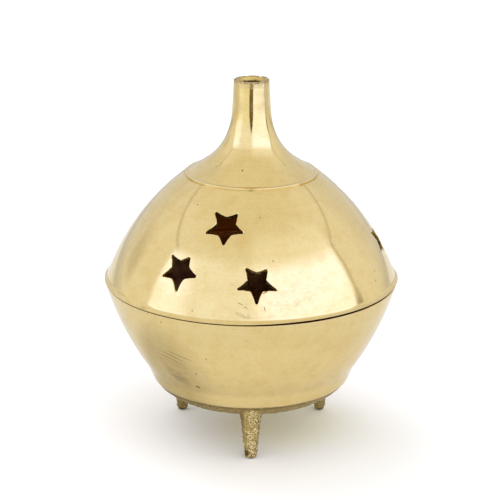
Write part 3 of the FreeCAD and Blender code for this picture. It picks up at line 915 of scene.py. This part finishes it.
chimney_outline = outline(CHIMNEY_CORNERS, step=0.4)
blended = [index for index, point in enumerate(chimney_outline) if 79 < point.y < 90 and point.x > 4]
for _ in range(9):
    for index in blended:
        chimney_outline[index].x = (chimney_outline[index - 1].x + chimney_outline[index + 1].x) / 2
chimney_mesh = spun(chimney_outline, 160)
break_edge(chimney_mesh, 16.9, 70.1, 0.16)
break_edge(chimney_mesh, 4.5, 94, 0.16, segments=3)
break_edge(chimney_mesh, 3.45, 94, 0.12, segments=3)
for vert in chimney_mesh.verts:
    rim = ease(vert.co.z / MM, 93.0, 93.8)
    if rim > 0:
        turn = way_round(vert.co)
        drop = 0.10 + 0.10 * grain(vert.co, 1.6)
        drop += sum(depth * (1 - ease(abs(turn - at), 2, 8)) for at, depth in NICKS)
        vert.co.z -= rim * drop * MM
        vert.co.xy *= 1 + rim * 0.012 * grain(vert.co + Vector((0, 0, 1)), 1.1)
print("top of the chimney in mm:", round(max(vert.co.z for vert in chimney_mesh.verts) / MM, 2))

# %% Finish the chimney
chimney_skin, wire = material("chimney_brass", rgb(0.8, 0.63, 0.3))
spot = Spot(wire)
crevice = spot.radius.near(16.25, 0.1, 0.3) * spot.z.near(70.1, 0.03, 0.2) * 0.2
crevice = crevice + (1 - spot.z.rise(69.5, 69.72)) * 0.3
crevice = crevice + spot.z.rise(93.3, 93.75) * (0.4 + spot.lumps(0.55, detail=3.0).rise(0.42, 0.58) * 0.8)
filed = spot.z.rise(92.2, 92.8) * spot.lumps(0.45, detail=2.0).rise(0.3, 0.6) * 0.7
shaded = polished(wire, spot, crevice, [((-2.23, -11.27, 73.18), 40, 0.3, 0.16)], filed)
surface(wire, *shaded, Anisotropic=0.5, Anisotropic_Rotation=0.25)


def inside_chimney(face):
    centre = face.calc_center_median() / MM
    radius = centre.xy.length
    if centre.z > 85.5:
        return radius < 3.4 and centre.z < 93.9
    return radius < 12.42 and (centre.z < 69.6 or radius < 4.2 + (85.5 - centre.z) ** 2 * 0.036)


for face in chimney_mesh.faces:
    face.material_index = 1 if inside_chimney(face) else 0
piece("chimney_turned", chimney_mesh, [chimney_skin, smoke], "chimney", "lid")

# %% [markdown]
# ## Cone dish
# A cone of incense is burnt on a small loose saucer, so that the bowl's floor stays cool. It is
# turned, dull and stained with ash in the middle.

# %% Make the dish
DISH_CORNERS = [
    (0, 12.2), (7.9, 12.2), (7.9, 11.2), (9.2, 11.2), (9.2, 12.2), (10.8, 12.2, 5, RIGHT), (13, 15.4),
    (12.1, 15.4, 5, LEFT), (10.35, 13.2), (0, 13.2),
]
dish_mesh = spun(outline(DISH_CORNERS, step=0.4), 144)
broken = [break_edge(dish_mesh, radius, 15.4, 0.2) for radius in (13, 12.1)]
print("dish faces:", len(dish_mesh.faces), "ring edges broken:", broken)

# %% Finish the dish
dish_skin, wire = material("dull_dish", rgb(0.5, 0.38, 0.18))
spot = Spot(wire)
turned_marks = spot.rings(0.35, 60.0, detail=2.0)
ash = (1 - spot.radius.rise(3.0, 8.5)) * spot.lumps(2.2, detail=4.0).rise(0.35, 0.6) * spot.z.rise(12.9, 13.1)
colour = turned_marks.rise(0.35, 0.65).mix(rgb(0.46, 0.32, 0.13), rgb(0.60, 0.45, 0.2))
colour = (ash * 0.8).mix(colour, rgb(0.22, 0.20, 0.18))
surface(wire, colour, 0.36 + ash * 0.4, turned_marks * 4.0 + ash * 25.0, metallic=1 - ash * 0.7)
piece("cone_saucer", dish_mesh, [dish_skin], "cone_dish", "dish")

# %% [markdown]
# ## Floor
# The burner stands on plain pale card. Most of what the bowl mirrors is this floor, so it is large. It
# is seen through from below, which leaves the feet and the underside free to be looked at.

# %% Lay the floor
floor_mesh = bmesh.new()
bmesh.ops.create_circle(floor_mesh, cap_ends=True, segments=96, radius=0.6)
bmesh.ops.recalc_face_normals(floor_mesh, faces=floor_mesh.faces)
floor = as_object("floor", floor_mesh)
print("floor faces up:", floor.data.polygons[0].normal.z > 0)

# %% [markdown]
# The card has a faint fibre, and its uneven light is painted into its colour. As the brass mirrors it,
# painted shade makes it duller beyond the feet and near its far edge, with a painted shadow at the left.
# Close under the bowl a warm painted shadow darkens it to the lens, standing for light that has met brass
# before it reaches the card. A tone that depends on the distance from a spot paints each.

# %% Paint the card
card, wire = material("pale_card", rgb(0.95, 0.93, 0.9))
place = wire.node("ShaderNodeTexCoord", output="Object")
fibre = wire.node("ShaderNodeTexNoise", {}, {"Vector": place, "Scale": 900.0, "Detail": 3.0}).rise(0.3, 0.7)


def away_from(x, y):
    """Distance on the card from a spot, in millimetres."""
    inputs = {0: place, 1: (x * MM, y * MM, 0)}
    return wire.node("ShaderNodeVectorMath", {"operation": "DISTANCE"}, inputs, output=1) * 1000.0


from_axis = away_from(0, 0)
to_brass = fibre.mix(rgb(0.80, 0.79, 0.79), rgb(0.82, 0.81, 0.80))
# Painted shade as the brass mirrors the card: duller beyond the feet, a painted shadow at the left, duller near
# the far edge.
to_brass = (from_axis.rise(36.0, 62.0) * 0.13).mix(to_brass, rgb(0.30, 0.30, 0.26))
to_brass = ((1 - away_from(-38, -6).rise(14.0, 36.0)) * 0.37).mix(to_brass, rgb(0.25, 0.24, 0.20))
to_brass = from_axis.rise(440.0, 540.0).mix(to_brass, rgb(0.56, 0.56, 0.58))
to_lens = fibre.mix(rgb(0.97, 0.97, 0.975), rgb(0.985, 0.985, 0.99))
# Painted shadow to the lens: darker round the burner, and warmer close under the bowl.
to_lens = (1 - away_from(18, -22).rise(18.0, 50.0)).mix(to_lens, rgb(0.87, 0.865, 0.845))
to_lens = ((1 - away_from(10, 0).rise(6.0, 24.0)) * 0.9).mix(to_lens, rgb(0.88, 0.87, 0.72))
seen = wire.node("ShaderNodeLightPath", output="Is Camera Ray")
colour = seen.mix(to_brass, to_lens)
paper = wire.node("ShaderNodeBsdfDiffuse", {}, {"Color": colour, "Roughness": 0.0})
clear = wire.node("ShaderNodeBsdfTransparent")
from_below = wire.node("ShaderNodeNewGeometry", output="Backfacing")
both = wire.node("ShaderNodeMixShader", {}, {0: from_below, 1: paper, 2: clear})
wire.node("ShaderNodeOutputMaterial", {}, {"Surface": both})
floor.data.materials.append(card)
print("card nodes:", len(card.node_tree.nodes))

# %% [markdown] ## End
# The visual model may not leave the frame's box.
